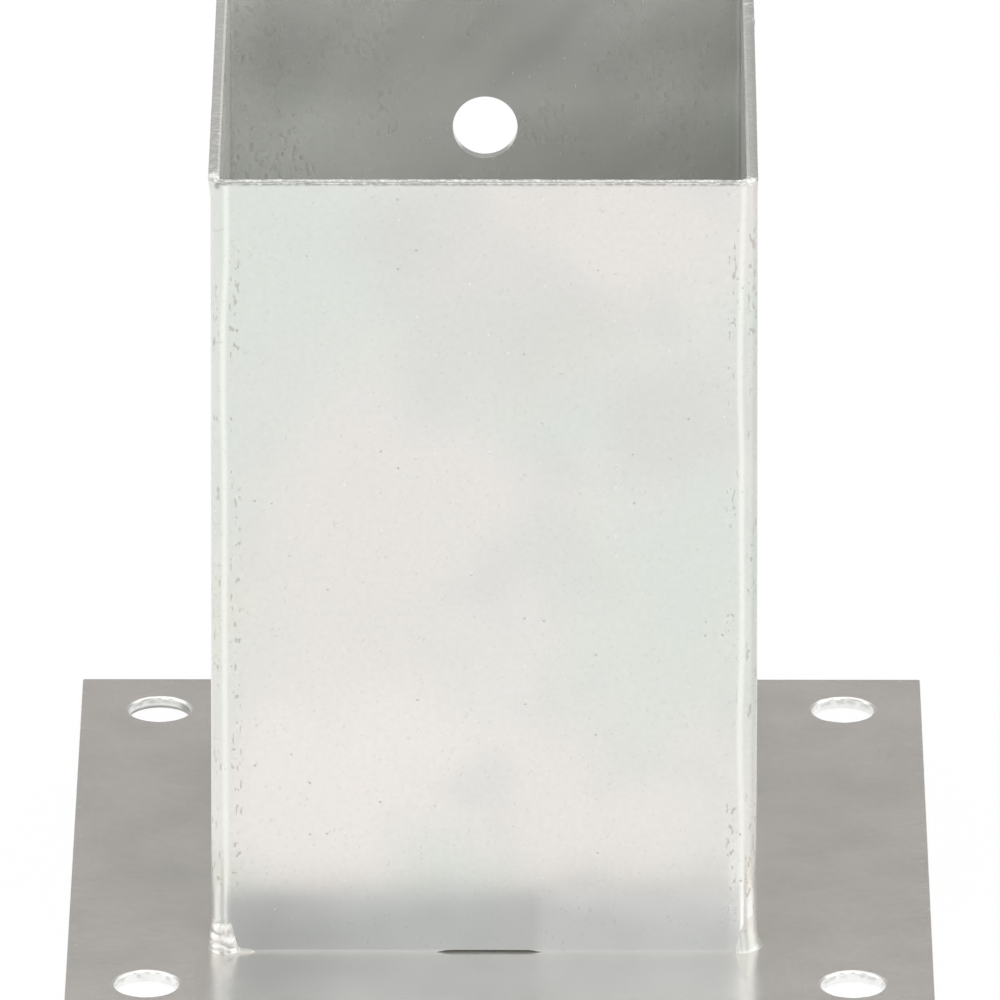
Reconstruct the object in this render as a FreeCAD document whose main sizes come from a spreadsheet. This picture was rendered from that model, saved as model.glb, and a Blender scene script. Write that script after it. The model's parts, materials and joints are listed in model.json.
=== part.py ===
import FreeCAD, Part
import math
import os
import Sketcher

# Timber post base: a folded square sleeve of sheet steel, closed by one butt seam and
# welded at its four bends to a square base plate that is bolted down through four holes.
# Millimetres. +Z is up, the origin is the middle of the plate's underside, and the plain
# front of the sleeve looks along -Y. The screw hole is in the back wall.

doc = FreeCAD.newDocument("TimberPostBase")

# Driving dimensions
DRIVING = (
    ("plate_width", 150.0, "base plate, left to right"),
    ("plate_depth", 150.0, "base plate, front to back"),
    ("plate_thick", 2.0, "base plate sheet"),
    ("plate_corner", 1.5, "rounding of the plate's corners"),
    ("bolt_dia", 11.0, "bolt hole"),
    ("bolt_inset", 14.0, "bolt holes' middles, in from the plate's edges"),
    ("punch_radius", 0.45, "rounded edge that the punch leaves on a hole"),
    ("post_width", 90.0, "planed timber post"),
    ("post_clear", 0.25, "room on each side of the post"),
    ("wall", 2.0, "sleeve sheet"),
    ("bend_inside", 1.0, "inside radius of the four bends"),
    ("sleeve_rise", 143.0, "sleeve above the plate"),
    ("sleeve_shift", -2.8, "sleeve's place on the plate, left of its middle"),
    ("screw_dia", 11.5, "screw hole in the back wall"),
    ("screw_drop", 25.5, "screw hole's middle below the rim"),
    ("slit_length", 17.5, "unwelded slit under the front wall"),
    ("slit_rise", 0.6, "slit's height at its middle"),
    ("slit_shift", 0.9, "slit's middle, right of the sleeve's"),
    ("seam_inset", 16.5, "closing seam in the right wall, before the back face"),
    ("seam_gap", 0.5, "gap between the sheet's two edges"),
    ("bead_width", 3.2, "seam bead across"),
    ("bead_rise", 0.2, "seam bead's crown above the wall"),
    ("front_left_reach", 1.1, "front left weld, out over the plate"),
    ("front_left_climb", 5.5, "front left weld, up the bend"),
    ("front_right_reach", 1.3, "front right weld, out over the plate"),
    ("front_right_climb", 7.0, "front right weld, up the bend"),
    ("back_left_reach", 1.2, "back left weld, out over the plate"),
    ("back_left_climb", 5.5, "back left weld, up the bend"),
    ("back_right_reach", 1.2, "back right weld, out over the plate"),
    ("back_right_climb", 6.0, "back right weld, up the bend"),
)

sizes = doc.addObject("Spreadsheet::Sheet", "Sizes")
for row, (alias, value, meaning) in enumerate(DRIVING, 1):
    sizes.set("A%d" % row, meaning)
    sizes.set("B%d" % row, str(value))
    sizes.setAlias("B%d" % row, alias)
doc.recompute()

# Sizes worked out from the driving ones
SLEEVE_INSIDE = "(Sizes.post_width + 2 * Sizes.post_clear)"
SLEEVE_SIDE = "(%s + 2 * Sizes.wall)" % SLEEVE_INSIDE
SLEEVE_HALF = "(%s / 2)" % SLEEVE_SIDE
BEND_OUTSIDE = "(Sizes.bend_inside + Sizes.wall)"
BEND_CENTRE = "(%s - %s)" % (SLEEVE_HALF, BEND_OUTSIDE)
SLIT_RADIUS = "((Sizes.slit_length ^ 2 / 4 + Sizes.slit_rise ^ 2) / (2 * Sizes.slit_rise))"
BEAD_RADIUS = "((Sizes.bead_width ^ 2 / 4 + Sizes.bead_rise ^ 2) / (2 * Sizes.bead_rise))"

QUARTER_TURN = math.pi / 2
SAME = 0.001          # lengths closer than this are the same
LEAST_CHANGE = 0.01   # cubic millimetres that every cut takes and every turn adds


def size_of(expression):
    return float(sizes.evalExpression(expression.replace("Sizes.", "")))


def point(x, y):
    return FreeCAD.Vector(x, y, 0)


def new_body(label, base, turn=0.0):
    """A body whose place is bound to the sheet and which is turned about +Z."""
    body = doc.addObject("PartDesign::Body", label)
    body.Label = label
    upright = FreeCAD.Rotation(FreeCAD.Vector(0, 0, 1), turn)
    body.Placement = FreeCAD.Placement(FreeCAD.Vector(), upright)
    for axis, expression in zip("xyz", base):
        body.setExpression("Placement.Base." + axis, expression)
    return body


def new_sketch(body, name, role):
    """A sketch on one of the body's own origin planes."""
    plane = next(item for item in body.Origin.OriginFeatures if item.Role == role)
    sketch = body.newObject("Sketcher::SketchObject", name)
    sketch.AttachmentSupport = [(plane, "")]
    sketch.MapMode = "FlatFace"
    return sketch


def bind(sketch, name, expression, kind, *where):
    """Adds a constraint with a size and ties that size to the sheet."""
    index = sketch.addConstraint(Sketcher.Constraint(kind, *where, size_of(expression)))
    sketch.renameConstraint(index, name)
    sketch.setExpression("Constraints." + name, expression)


def rounded_rectangle(sketch, name, width, depth, radius):
    """A rectangle about the sketch's origin with four equal round corners."""
    half_x = size_of(width) / 2
    half_y = size_of(depth) / 2
    round_off = size_of(radius)
    in_x = half_x - round_off
    in_y = half_y - round_off
    first = sketch.GeometryCount
    sides = (
        (point(-in_x, -half_y), point(in_x, -half_y)),
        (point(half_x, -in_y), point(half_x, in_y)),
        (point(in_x, half_y), point(-in_x, half_y)),
        (point(-half_x, in_y), point(-half_x, -in_y)),
    )
    for start, end in sides:
        sketch.addGeometry(Part.LineSegment(start, end), False)
    centres = ((in_x, -in_y), (in_x, in_y), (-in_x, in_y), (-in_x, -in_y))
    for quarter, (x, y) in enumerate(centres):
        circle = Part.Circle(point(x, y), FreeCAD.Vector(0, 0, 1), round_off)
        begin = (quarter - 1) * QUARTER_TURN
        sketch.addGeometry(Part.ArcOfCircle(circle, begin, begin + QUARTER_TURN), False)
    for quarter in range(4):
        arc = first + 4 + quarter
        after = first + (quarter + 1) % 4
        sketch.addConstraint(Sketcher.Constraint("Tangent", first + quarter, 2, arc, 1))
        sketch.addConstraint(Sketcher.Constraint("Tangent", arc, 2, after, 1))
    for quarter in range(3):
        sketch.addConstraint(Sketcher.Constraint("Equal", first + 4, first + 5 + quarter))
    for index in (first, first + 2):
        sketch.addConstraint(Sketcher.Constraint("Horizontal", index))
    for index in (first + 1, first + 3):
        sketch.addConstraint(Sketcher.Constraint("Vertical", index))
    sketch.addConstraint(Sketcher.Constraint("Symmetric", first, 1, first + 2, 1, -1, 1))
    bind(sketch, name + "_width", width, "DistanceX", first + 3, 1, first + 1, 1)
    bind(sketch, name + "_depth", depth, "DistanceY", first, 1, first + 2, 1)
    bind(sketch, name + "_radius", radius, "Radius", first + 4)


def circle_at(sketch, name, x, y, diameter):
    """A circle whose centre stands off from the sketch's origin by x and y."""
    centre = point(size_of(x), size_of(y))
    circle = Part.Circle(centre, FreeCAD.Vector(0, 0, 1), size_of(diameter) / 2)
    index = sketch.addGeometry(circle, False)
    bind(sketch, name + "_x", x, "DistanceX", -1, 1, index, 3)
    bind(sketch, name + "_y", y, "DistanceY", -1, 1, index, 3)
    bind(sketch, name + "_dia", diameter, "Diameter", index)


def pad(body, name, sketch, length):
    feature = body.newObject("PartDesign::Pad", name)
    feature.Profile = sketch
    feature.setExpression("Length", length)
    doc.recompute()
    return feature


def cut_through(body, name, sketch, away):
    """A pocket through all of the body on one side of the sketch; it has to take metal away."""
    before = body.Shape.Volume
    feature = body.newObject("PartDesign::Pocket", name)
    feature.Profile = sketch
    feature.Type = "ThroughAll"
    feature.Reversed = away
    doc.recompute()
    if not body.Shape.Volume < before - LEAST_CHANGE:
        raise ValueError(name + " cuts nothing")
    return feature


def round_rims(body, name, base, radius, diameter, is_rim):
    """Rounds the rims of the holes of one diameter that is_rim picks by their centre."""
    edges = []
    for number, edge in enumerate(base.Shape.Edges, 1):
        curve = edge.Curve
        if not isinstance(curve, Part.Circle) or abs(curve.Radius - size_of(diameter) / 2) > SAME:
            continue
        if is_rim(curve.Center):
            edges.append("Edge%d" % number)
    feature = body.newObject("PartDesign::Fillet", name)
    feature.Base = (base, edges)
    feature.setExpression("Radius", radius)
    doc.recompute()
    return feature


# Base plate, with its four punched bolt holes
def make_base_plate():
    body = new_body("base_plate", ("0", "0", "0"))
    outline = new_sketch(body, "plate_outline", "XY_Plane")
    rounded_rectangle(outline, "plate", "Sizes.plate_width", "Sizes.plate_depth", "Sizes.plate_corner")
    pad(body, "plate_sheet", outline, "Sizes.plate_thick")
    holes = new_sketch(body, "bolt_holes", "XY_Plane")
    for side_x, x_name in ((-1, "left"), (1, "right")):
        for side_y, y_name in ((-1, "front"), (1, "back")):
            x = "%d * (Sizes.plate_width / 2 - Sizes.bolt_inset)" % side_x
            y = "%d * (Sizes.plate_depth / 2 - Sizes.bolt_inset)" % side_y
            circle_at(holes, y_name + "_" + x_name, x, y, "Sizes.bolt_dia")
    punched = cut_through(body, "punched_holes", holes, True)
    top = size_of("Sizes.plate_thick")
    round_rims(body, "rolled_rims", punched, "Sizes.punch_radius", "Sizes.bolt_dia",
               lambda centre: abs(centre.z - top) < SAME)
    return body


# Post sleeve: one folded sheet with its seam gap, screw hole and foot slit
def make_post_sleeve():
    body = new_body("post_sleeve", ("Sizes.sleeve_shift", "0", "Sizes.plate_thick"))
    section = new_sketch(body, "folded_section", "XY_Plane")
    rounded_rectangle(section, "outside", SLEEVE_SIDE, SLEEVE_SIDE, BEND_OUTSIDE)
    rounded_rectangle(section, "inside", SLEEVE_INSIDE, SLEEVE_INSIDE, "Sizes.bend_inside")
    pad(body, "folded_sheet", section, "Sizes.sleeve_rise")

    seam = new_sketch(body, "seam_line", "YZ_Plane")
    seam_box(seam)
    cut_through(body, "seam_gap_cut", seam, True)

    slit = new_sketch(body, "slit_outline", "XZ_Plane")
    slit_segment(slit)
    cut_through(body, "foot_slit", slit, True)

    screw = new_sketch(body, "screw_hole", "XZ_Plane")
    circle_at(screw, "screw", "0", "Sizes.sleeve_rise - Sizes.screw_drop", "Sizes.screw_dia")
    punched = cut_through(body, "punched_screw_hole", screw, False)
    back = size_of(SLEEVE_HALF)
    round_rims(body, "screw_hole_roll", punched, "Sizes.punch_radius", "Sizes.screw_dia",
               lambda centre: abs(centre.y - back) < SAME)
    return body


def seam_box(sketch):
    """The gap between the sheet's edges, over the whole height of the right wall."""
    middle = size_of(SLEEVE_HALF + " - Sizes.seam_inset")
    half = size_of("Sizes.seam_gap / 2")
    top = size_of("Sizes.sleeve_rise")
    corners = (point(middle - half, 0), point(middle + half, 0),
               point(middle + half, top), point(middle - half, top))
    for number, corner in enumerate(corners):
        sketch.addGeometry(Part.LineSegment(corner, corners[(number + 1) % 4]), False)
    for number in range(4):
        sketch.addConstraint(Sketcher.Constraint("Coincident", number, 2, (number + 1) % 4, 1))
    sketch.addConstraint(Sketcher.Constraint("Horizontal", 0))
    sketch.addConstraint(Sketcher.Constraint("Horizontal", 2))
    sketch.addConstraint(Sketcher.Constraint("Vertical", 1))
    sketch.addConstraint(Sketcher.Constraint("Vertical", 3))
    sketch.addConstraint(Sketcher.Constraint("PointOnObject", 0, 1, -1))
    bind(sketch, "seam_place", SLEEVE_HALF + " - Sizes.seam_inset - Sizes.seam_gap / 2",
         "DistanceX", -1, 1, 0, 1)
    bind(sketch, "seam_width", "Sizes.seam_gap", "DistanceX", 0, 1, 0, 2)
    bind(sketch, "seam_height", "Sizes.sleeve_rise", "DistanceY", 1, 1, 1, 2)


def slit_segment(sketch):
    """A low arched slit at the foot: a flat base and an arc over it."""
    middle = size_of("Sizes.slit_shift")
    half = size_of("Sizes.slit_length / 2")
    rise = size_of("Sizes.slit_rise")
    left = point(middle - half, 0)
    right = point(middle + half, 0)
    sketch.addGeometry(Part.LineSegment(left, right), False)
    sketch.addGeometry(Part.Arc(right, point(middle, rise), left), False)
    sketch.addConstraint(Sketcher.Constraint("Coincident", 0, 2, 1, 1))
    sketch.addConstraint(Sketcher.Constraint("Coincident", 0, 1, 1, 2))
    sketch.addConstraint(Sketcher.Constraint("Horizontal", 0))
    sketch.addConstraint(Sketcher.Constraint("PointOnObject", 0, 1, -1))
    bind(sketch, "slit_place", "Sizes.slit_shift - Sizes.slit_length / 2", "DistanceX", -1, 1, 0, 1)
    bind(sketch, "slit_length", "Sizes.slit_length", "DistanceX", 0, 1, 0, 2)
    bind(sketch, "slit_arch", SLIT_RADIUS, "Radius", 1)


# Seam weld: the root fills the gap and the crown lies on the right wall
def make_seam_weld():
    place = ("Sizes.sleeve_shift + " + SLEEVE_HALF, SLEEVE_HALF + " - Sizes.seam_inset", "Sizes.plate_thick")
    body = new_body("seam_weld", place)
    sketch = new_sketch(body, "bead_section", "XY_Plane")
    deep = -size_of("Sizes.wall")
    gap = size_of("Sizes.seam_gap / 2")
    wide = size_of("Sizes.bead_width / 2")
    crown = point(size_of("Sizes.bead_rise"), 0)
    corners = (point(0, -wide), point(0, -gap), point(deep, -gap),
               point(deep, gap), point(0, gap), point(0, wide))
    for start, end in zip(corners, corners[1:]):
        sketch.addGeometry(Part.LineSegment(start, end), False)
    sketch.addGeometry(Part.Arc(corners[0], crown, corners[-1]), False)
    for number in range(4):
        sketch.addConstraint(Sketcher.Constraint("Coincident", number, 2, number + 1, 1))
    sketch.addConstraint(Sketcher.Constraint("Coincident", 5, 1, 0, 1))
    sketch.addConstraint(Sketcher.Constraint("Coincident", 5, 2, 4, 2))
    for number in (0, 2, 4):
        sketch.addConstraint(Sketcher.Constraint("Vertical", number))
    for number in (1, 3):
        sketch.addConstraint(Sketcher.Constraint("Horizontal", number))
    sketch.addConstraint(Sketcher.Constraint("Symmetric", 0, 1, 4, 2, -1, 1))
    sketch.addConstraint(Sketcher.Constraint("Symmetric", 1, 1, 3, 2, -1))
    bind(sketch, "crown_width", "Sizes.bead_width", "DistanceY", 0, 1, 4, 2)
    bind(sketch, "root_width", "Sizes.seam_gap", "DistanceY", 2, 1, 2, 2)
    bind(sketch, "root_depth", "Sizes.wall", "DistanceX", 1, 2, 1, 1)
    bind(sketch, "crown_radius", BEAD_RADIUS, "Radius", 5)
    pad(body, "seam_bead", sketch, "Sizes.sleeve_rise")
    return body


def hollow_radius(reach, climb):
    """The radius of a weld's face, which stays clear of both the wall and the plate."""
    chord = "sqrt(%s ^ 2 + %s ^ 2)" % (reach, climb)
    lesser = "min(atan(%s / %s); atan(%s / %s))" % (reach, climb, climb, reach)
    return "%s / (2 * sin(%s / 2))" % (chord, lesser)


def weld_section(body, name, role, reach, climb):
    """A hollow-faced fillet between the plate and the bend, one bend radius from the axis."""
    sketch = new_sketch(body, name, role)
    inner = size_of(BEND_OUTSIDE)
    out = size_of(reach)
    up = size_of(climb)
    chord = (out ** 2 + up ** 2) ** 0.5
    hollow = size_of(hollow_radius(reach, climb))
    corner = point(inner, 0)
    toe = point(inner + out, 0)
    top = point(inner, up)
    sag = hollow - (hollow ** 2 - chord ** 2 / 4) ** 0.5
    middle = point(inner + out / 2 - sag * up / chord, up / 2 - sag * out / chord)
    sketch.addGeometry(Part.LineSegment(corner, toe), False)
    sketch.addGeometry(Part.Arc(toe, middle, top), False)
    sketch.addGeometry(Part.LineSegment(top, corner), False)
    arc_toe, arc_top = arc_ends(sketch, 1, toe)
    sketch.addConstraint(Sketcher.Constraint("Coincident", 0, 2, 1, arc_toe))
    sketch.addConstraint(Sketcher.Constraint("Coincident", 1, arc_top, 2, 1))
    sketch.addConstraint(Sketcher.Constraint("Coincident", 2, 2, 0, 1))
    sketch.addConstraint(Sketcher.Constraint("PointOnObject", 0, 1, -1))
    sketch.addConstraint(Sketcher.Constraint("Horizontal", 0))
    sketch.addConstraint(Sketcher.Constraint("Vertical", 2))
    bind(sketch, "bend", BEND_OUTSIDE, "DistanceX", -1, 1, 0, 1)
    bind(sketch, "reach", reach, "DistanceX", 0, 1, 0, 2)
    bind(sketch, "climb", climb, "DistanceY", 2, 2, 2, 1)
    bind(sketch, "hollow", hollow_radius(reach, climb), "Radius", 1)
    return sketch


def arc_ends(sketch, index, start):
    """Which end of the arc is the given point: a sketch keeps its arcs anticlockwise."""
    if sketch.getPoint(index, 1).distanceToPoint(start) < SAME:
        return 1, 2
    return 2, 1


def revolve(body, name, sketch, axis, backwards=False):
    """Turns a section a quarter round an upright axis; the turn has to add metal."""
    before = body.Shape.Volume if body.Tip else 0.0
    feature = body.newObject("PartDesign::Revolution", name)
    feature.Profile = sketch
    feature.ReferenceAxis = axis
    feature.Angle = 90
    feature.Reversed = backwards
    doc.recompute()
    if not body.Shape.Volume > before + LEAST_CHANGE:
        raise ValueError(name + " adds nothing")
    return feature


# Corner weld: a quarter turn round the bend, run out in a dome against each wall
def make_corner_weld(label, side_x, side_y, turn):
    place = ("Sizes.sleeve_shift + %d * %s" % (side_x, BEND_CENTRE),
             "%d * %s" % (side_y, BEND_CENTRE), "Sizes.plate_thick")
    stem = label.replace("_weld", "")
    reach = "Sizes." + stem + "_reach"
    climb = "Sizes." + stem + "_climb"
    body = new_body(label, place, turn)
    upright = next(item for item in body.Origin.OriginFeatures if item.Role == "Z_Axis")
    ring = weld_section(body, stem + "_ring", "XZ_Plane", reach, climb)
    revolve(body, stem + "_bead", ring, (upright, [""]))
    start = weld_section(body, stem + "_start", "XZ_Plane", reach, climb)
    revolve(body, stem + "_start_dome", start, (start, ["Edge3"]))
    finish = weld_section(body, stem + "_finish", "YZ_Plane", reach, climb)
    revolve(body, stem + "_finish_dome", finish, (finish, ["Edge3"]), True)
    return body


welded = (
    make_corner_weld("back_right_weld", 1, 1, 0),
    make_corner_weld("back_left_weld", -1, 1, 90),
    make_corner_weld("front_left_weld", -1, -1, 180),
    make_corner_weld("front_right_weld", 1, -1, 270),
)
nodes = (make_base_plate(), make_post_sleeve(), make_seam_weld()) + welded

doc.recompute()
for item in doc.Objects:
    if "Invalid" in item.State or "Error" in item.State:
        raise ValueError("%s is not built: %s" % (item.Label, item.State))
for node in nodes:
    if node.Shape.isNull() or not node.Shape.isValid() or len(node.Shape.Solids) != 1:
        raise ValueError("%s is not one sound solid" % node.Label)

os.makedirs("parts", exist_ok=True)
for node in nodes:
    node.Shape.exportStep("parts/%s.step" % node.Label)
    box = node.Shape.optimalBoundingBox()
    print("%-18s %10.1f mm3  %s" % (node.Label, node.Shape.Volume, box))
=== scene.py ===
import bmesh
import bpy
import json
import math
from mathutils import Matrix, Vector, noise


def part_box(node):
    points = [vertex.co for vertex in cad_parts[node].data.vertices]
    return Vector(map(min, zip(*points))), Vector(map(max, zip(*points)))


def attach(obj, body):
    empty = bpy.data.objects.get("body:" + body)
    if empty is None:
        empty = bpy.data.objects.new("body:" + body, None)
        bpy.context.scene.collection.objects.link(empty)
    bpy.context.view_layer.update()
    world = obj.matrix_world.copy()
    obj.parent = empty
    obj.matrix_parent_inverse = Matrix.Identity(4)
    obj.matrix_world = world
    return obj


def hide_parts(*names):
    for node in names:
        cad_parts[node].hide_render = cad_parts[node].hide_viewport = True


# Timber post base in bright zinc plated sheet. Metres, +Z up, plain front towards -Y.

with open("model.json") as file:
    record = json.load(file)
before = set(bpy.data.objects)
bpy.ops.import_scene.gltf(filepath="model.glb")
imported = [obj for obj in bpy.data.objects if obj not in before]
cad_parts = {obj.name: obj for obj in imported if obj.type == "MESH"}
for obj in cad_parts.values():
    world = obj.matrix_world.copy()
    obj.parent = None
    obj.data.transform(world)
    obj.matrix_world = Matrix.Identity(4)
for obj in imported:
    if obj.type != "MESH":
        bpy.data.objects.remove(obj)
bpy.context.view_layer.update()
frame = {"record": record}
mounts = {mount["name"]: mount for mount in frame["record"]["mounts"]}
mm = 0.001
print("frame loaded")


def boxOf(node):
    low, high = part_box(node)
    return Vector(low), Vector(high)


plateLow, plateHigh = boxOf("base_plate")
sleeveLow, sleeveHigh = boxOf("post_sleeve")
sleeveMid = (sleeveLow + sleeveHigh) / 2
sleeveHalf = (sleeveHigh.x - sleeveLow.x) / 2
footZ = sleeveLow.z
rimZ = sleeveHigh.z


# Small tools for meshes

def finishPiece(bm, name, replaced, sharpAngle=50):
    mesh = bpy.data.meshes.new(name)
    bm.to_mesh(mesh)
    bm.free()
    for polygon in mesh.polygons:
        polygon.use_smooth = True
    mesh.set_sharp_from_angle(angle=math.radians(sharpAngle))
    piece = bpy.data.objects.new(name, mesh)
    bpy.context.scene.collection.objects.link(piece)
    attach(piece, "root")
    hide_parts(*replaced)
    print(name, len(mesh.polygons), "faces")
    return piece


def newVerts(made):
    return [item for item in made["geom"] if isinstance(item, bmesh.types.BMVert)]


def newEdges(made, verts):
    inside = set(verts)
    return [item for item in made["geom"]
            if isinstance(item, bmesh.types.BMEdge) and all(vert in inside for vert in item.verts)]


def withBorders(faces):
    # the faces with their edges and corners, each once and in a steady order
    edges = dict.fromkeys(edge for face in faces for edge in face.edges)
    verts = dict.fromkeys(vert for face in faces for vert in face.verts)
    return faces + list(edges) + list(verts)


def smoothStep(low, high, value):
    t = min(max((value - low) / (high - low), 0.0), 1.0)
    return t * t * (3 - 2 * t)


def lump(co, size, shift=0.0):
    return noise.noise(Vector((co.x + shift, co.y - shift, co.z + 2 * shift)) / size)


def punchHole(bm, centre, across, up, radius, patchHalf, collar):
    # opens a round hole in a flat stretch: a square patch goes, and its border is drawn in to the circle
    def flat(co):
        return Vector(((co - centre).dot(across), (co - centre).dot(up)))
    normal = across.cross(up)
    patch = [face for face in bm.faces
             if max(abs(c) for c in flat(face.calc_center_median())) < patchHalf
             and abs((face.calc_center_median() - centre).dot(normal)) < 0.2 * mm]
    inPatch = set(patch)
    border = [edge for face in patch for edge in face.edges
              if sum(other in inPatch for other in edge.link_faces) == 1]
    bmesh.ops.delete(bm, geom=patch, context="FACES")
    for ringRadius in (radius + collar, radius + collar / 2, radius):
        made = bmesh.ops.extrude_edge_only(bm, edges=border)
        verts = newVerts(made)
        for vert in verts:
            spot = flat(vert.co).normalized() * ringRadius
            vert.co = centre + across * spot.x + up * spot.y
        border = newEdges(made, verts)


def bevelEdges(bm, edges, width, steps):
    bmesh.ops.bevel(bm, geom=edges, offset=width, offset_type="OFFSET", segments=steps,
                    profile=0.5, affect="EDGES", material=-1, clamp_overlap=True)


# Base plate: a sheared square with four punched bolt holes

plateShape = {
    "cornerRadius": 1.5 * mm,
    "cornerSteps": 5,
    "punchRoll": 0.45 * mm,
    "rollSteps": 4,
    "rollWave": 0.07 * mm,    # unevenness of the rolled rims
    "edgeBreak": 0.16 * mm,
    "patchHalf": 8.5 * mm,
    "patchCuts": 11,
    "collar": 1.4 * mm,
}


def makePlate():
    shape = plateShape
    bolts = mounts["base_bolts"]
    boltRadius = bolts["dims"]["hole_r_mm"] * mm
    boltX = bolts["dims"]["spacing_x_mm"] * mm / 2
    boltY = bolts["dims"]["spacing_y_mm"] * mm / 2
    half = plateHigh.x
    bm = bmesh.new()
    turned = Matrix.Translation((0, 0, plateHigh.z)) @ Matrix.Rotation(math.pi / 4, 4, "Z")
    bmesh.ops.create_circle(bm, cap_ends=True, segments=4, radius=half * math.sqrt(2), matrix=turned)
    for axis, middle in ((Vector((1, 0, 0)), boltX), (Vector((0, 1, 0)), boltY)):
        for offset in (-middle - shape["patchHalf"], -middle + shape["patchHalf"],
                       middle - shape["patchHalf"], middle + shape["patchHalf"]):
            bmesh.ops.bisect_plane(bm, geom=bm.verts[:] + bm.edges[:] + bm.faces[:],
                                   plane_co=axis * offset, plane_no=axis, dist=1e-7)
    bmesh.ops.subdivide_edges(bm, edges=bm.edges[:], cuts=shape["patchCuts"], use_grid_fill=True)
    centres = [Vector((x, y, plateHigh.z)) for x in (-boltX, boltX) for y in (-boltY, boltY)]
    for centre in centres:
        punchHole(bm, centre, Vector((1, 0, 0)), Vector((0, 1, 0)), boltRadius,
                  shape["patchHalf"], shape["collar"])
    corners = [vert for vert in bm.verts
               if abs(abs(vert.co.x) - half) < 1e-6 and abs(abs(vert.co.y) - half) < 1e-6]
    bmesh.ops.bevel(bm, geom=corners, offset=shape["cornerRadius"], offset_type="OFFSET",
                    segments=shape["cornerSteps"], profile=0.5, affect="VERTICES", material=-1)
    bmesh.ops.recalc_face_normals(bm, faces=bm.faces[:])
    bm.faces.ensure_lookup_table()
    if bm.faces[0].normal.z < 0:
        bmesh.ops.reverse_faces(bm, faces=bm.faces[:])
    bmesh.ops.solidify(bm, geom=bm.faces[:], thickness=plateHigh.z - plateLow.z)

    def radial(vert):
        return min((vert.co.xy - centre.xy).length for centre in centres)
    rims = [edge for edge in bm.edges
            if all(abs(radial(v) - boltRadius) < 0.02 * mm and abs(v.co.z - plateHigh.z) < 1e-6
                   for v in edge.verts)]
    bevelEdges(bm, rims, shape["punchRoll"], shape["rollSteps"])
    bm.normal_update()
    outline = [edge for edge in bm.edges if len(edge.link_faces) == 2
               and min(radial(v) for v in edge.verts) > boltRadius + 1.5 * mm
               and abs(edge.link_faces[0].normal.z - edge.link_faces[1].normal.z) > 0.9]
    bevelEdges(bm, outline, shape["edgeBreak"], 2)
    for vert in bm.verts:
        if radial(vert) < boltRadius + 1.0 * mm:
            top = smoothStep(0.6 * mm, 1.6 * mm, vert.co.z)
            vert.co.z += shape["rollWave"] * top * lump(vert.co, 1.3 * mm)
    bm.normal_update()
    return bm


plate = finishPiece(makePlate(), "plate", ["base_plate"], 40)


# Post sleeve: one folded sheet with a rough sheared rim

sleeveShape = {
    "wall": 2.0 * mm,
    "bendOutside": 3.0 * mm,
    "bendSteps": 12,
    "columns": 95,
    "footRows": (0.25, 0.6, 1.1, 1.8, 2.8, 4.2, 6.0, 8.5),
    "rowGap": 4.4,
    "screwRowGap": 1.5,
    "upperRows": (4.0, 2.4, 1.4, 0.8),     # down from the rim, before the fine rows
    "rimRows": (0.55, 0.4, 0.25, 0.0),
    "rimCuts": 2,
    "rimAcross": 5,
    "rimRound": 0.2 * mm,
    "screwPatch": 9.0 * mm,
    "screwCollar": 1.3 * mm,
    "slitLength": 17.1 * mm,
    "slitRise": 0.42 * mm,
    "slitBlunt": 14,         # the higher, the blunter its ends
    "slitShift": 0.9 * mm,
    "seamInset": 16.5 * mm,
    "seamGap": 0.5 * mm,
    "sag": 0.03 * mm,          # how far the walls are out of flat
    "sagSize": 36 * mm,
    "lean": {-1: (0.20 * mm, 0.62 * mm), 1: (0.05 * mm, 0.42 * mm)},     # side walls drawn in: low, high
    "flare": {-1: (0.33 * mm, 0.36 * mm), 1: (0.13 * mm, 0.06 * mm)},    # out again at the rim: back, front
}

# the shears' burr on the rim: place on the sleeve's outline in mm from its middle, reach and height
rimBurr = {
    "everywhere": 0.05,
    "front": 0.07,
    "spots": [
        (-46.0, -46.0, 2.2, 0.55),
        (-47.0, -40.0, 3.5, 0.12),
        (-47.0, -22.0, 16.0, 0.06),
        (44.8, -46.8, 2.6, 0.45),
        (40.5, -47.0, 2.2, 0.14),
        (46.6, 38.0, 5.0, 0.10),
    ],
}


def rowHeights():
    shape = sleeveShape
    height = rimZ - footZ
    screw = mounts["post_screw_hole"]["pos_m"][2] - footZ
    low, high = screw - shape["screwPatch"], screw + shape["screwPatch"]
    rows = [row * mm for row in shape["footRows"]]
    for end, gap in ((low, shape["rowGap"]), (high, shape["screwRowGap"]),
                     (height - shape["upperRows"][0] * mm, shape["rowGap"])):
        start = rows[-1]
        count = max(1, round((end - start) / (gap * mm)))
        rows += [start + (end - start) * step / count for step in range(1, count + 1)]
    return rows + [height - row * mm for row in shape["upperRows"][1:]]


def raiseRows(bm, edges, heights):
    for row in heights:
        made = bmesh.ops.extrude_edge_only(bm, edges=edges)
        verts = newVerts(made)
        for vert in verts:
            vert.co.z = footZ + row
        edges = newEdges(made, verts)
    return edges


def leanIn(side, y, z):
    # how far a side wall stands in from square at this place
    low, high = sleeveShape["lean"][side]
    back, front = sleeveShape["flare"][side]
    rise = min(1.0, max(0.0, (z - 50 * mm) / (91 * mm)))
    flare = back + (front - back) * smoothStep(0.0, -40 * mm, y - sleeveMid.y)
    drawn = low * smoothStep(8 * mm, 50 * mm, z) + (high - low) * rise
    return drawn - flare * smoothStep(rimZ - 3.5 * mm, rimZ - 0.6 * mm, z)


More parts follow.
